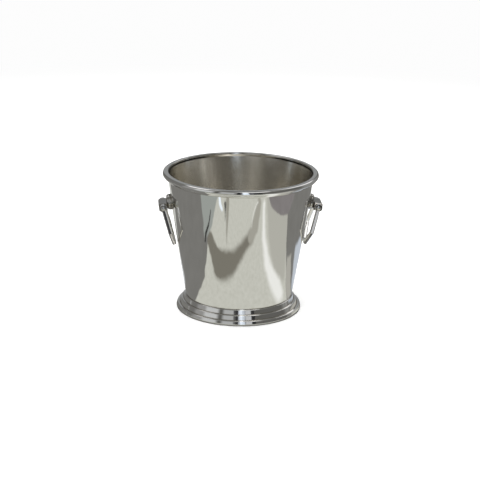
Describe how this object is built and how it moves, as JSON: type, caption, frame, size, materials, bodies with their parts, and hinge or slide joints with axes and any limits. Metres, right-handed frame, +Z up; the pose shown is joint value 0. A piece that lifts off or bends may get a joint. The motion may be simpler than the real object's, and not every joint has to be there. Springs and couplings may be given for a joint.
{
  "type": "champagne bucket",
  "caption": "Tapered silver champagne bucket with a stepped hollow foot, an applied rim moulding and angular drop handles that swing on pinned hinge blocks.",
  "frame": {"origin": "centre of the foot's underside, on the surface that the bucket stands on", "axes": "+Z up along the bucket's axis, towards the mouth; the handles are on -X (left) and +X (right); -Y is the front"},
  "size_m": [0.232, 0.22, 0.2],
  "materials": {
    "silver_body": "spun silver plate, mirror polished outside and brushed satin inside",
    "silver_polished": "mirror polished silver plate",
    "silver_fittings": "cast silver plate, polished, a little darker in the corners",
    "silver_handles": "cast silver plate, filed to bevels and polished",
    "pin_metal": "nickel silver rod, heads riveted over"
  },
  "bodies": {
    "bucket": {"body": "silver_body", "rim_moulding": "silver_polished", "foot": "silver_polished", "foot_edge_wire": "silver_fittings", "left_backplate": "silver_fittings", "left_hinge_block": "silver_fittings", "left_hinge_pin": "pin_metal", "right_backplate": "silver_fittings", "right_hinge_block": "silver_fittings", "right_hinge_pin": "pin_metal"},
    "left_drop_handle": {"left_handle": "silver_handles"},
    "right_drop_handle": {"right_handle": "silver_handles"}
  },
  "joints": [
    {"name": "left_handle_hinge", "type": "hinge", "parent": "bucket", "child": "left_drop_handle", "pos_m": [-0.1095, 0, 0.1505], "axis": [0, 1, 0], "range_deg": [-1, 191]},
    {"name": "right_handle_hinge", "type": "hinge", "parent": "bucket", "child": "right_drop_handle", "pos_m": [0.1095, 0, 0.1505], "axis": [0, -1, 0], "range_deg": [-1, 191]}
  ]
}
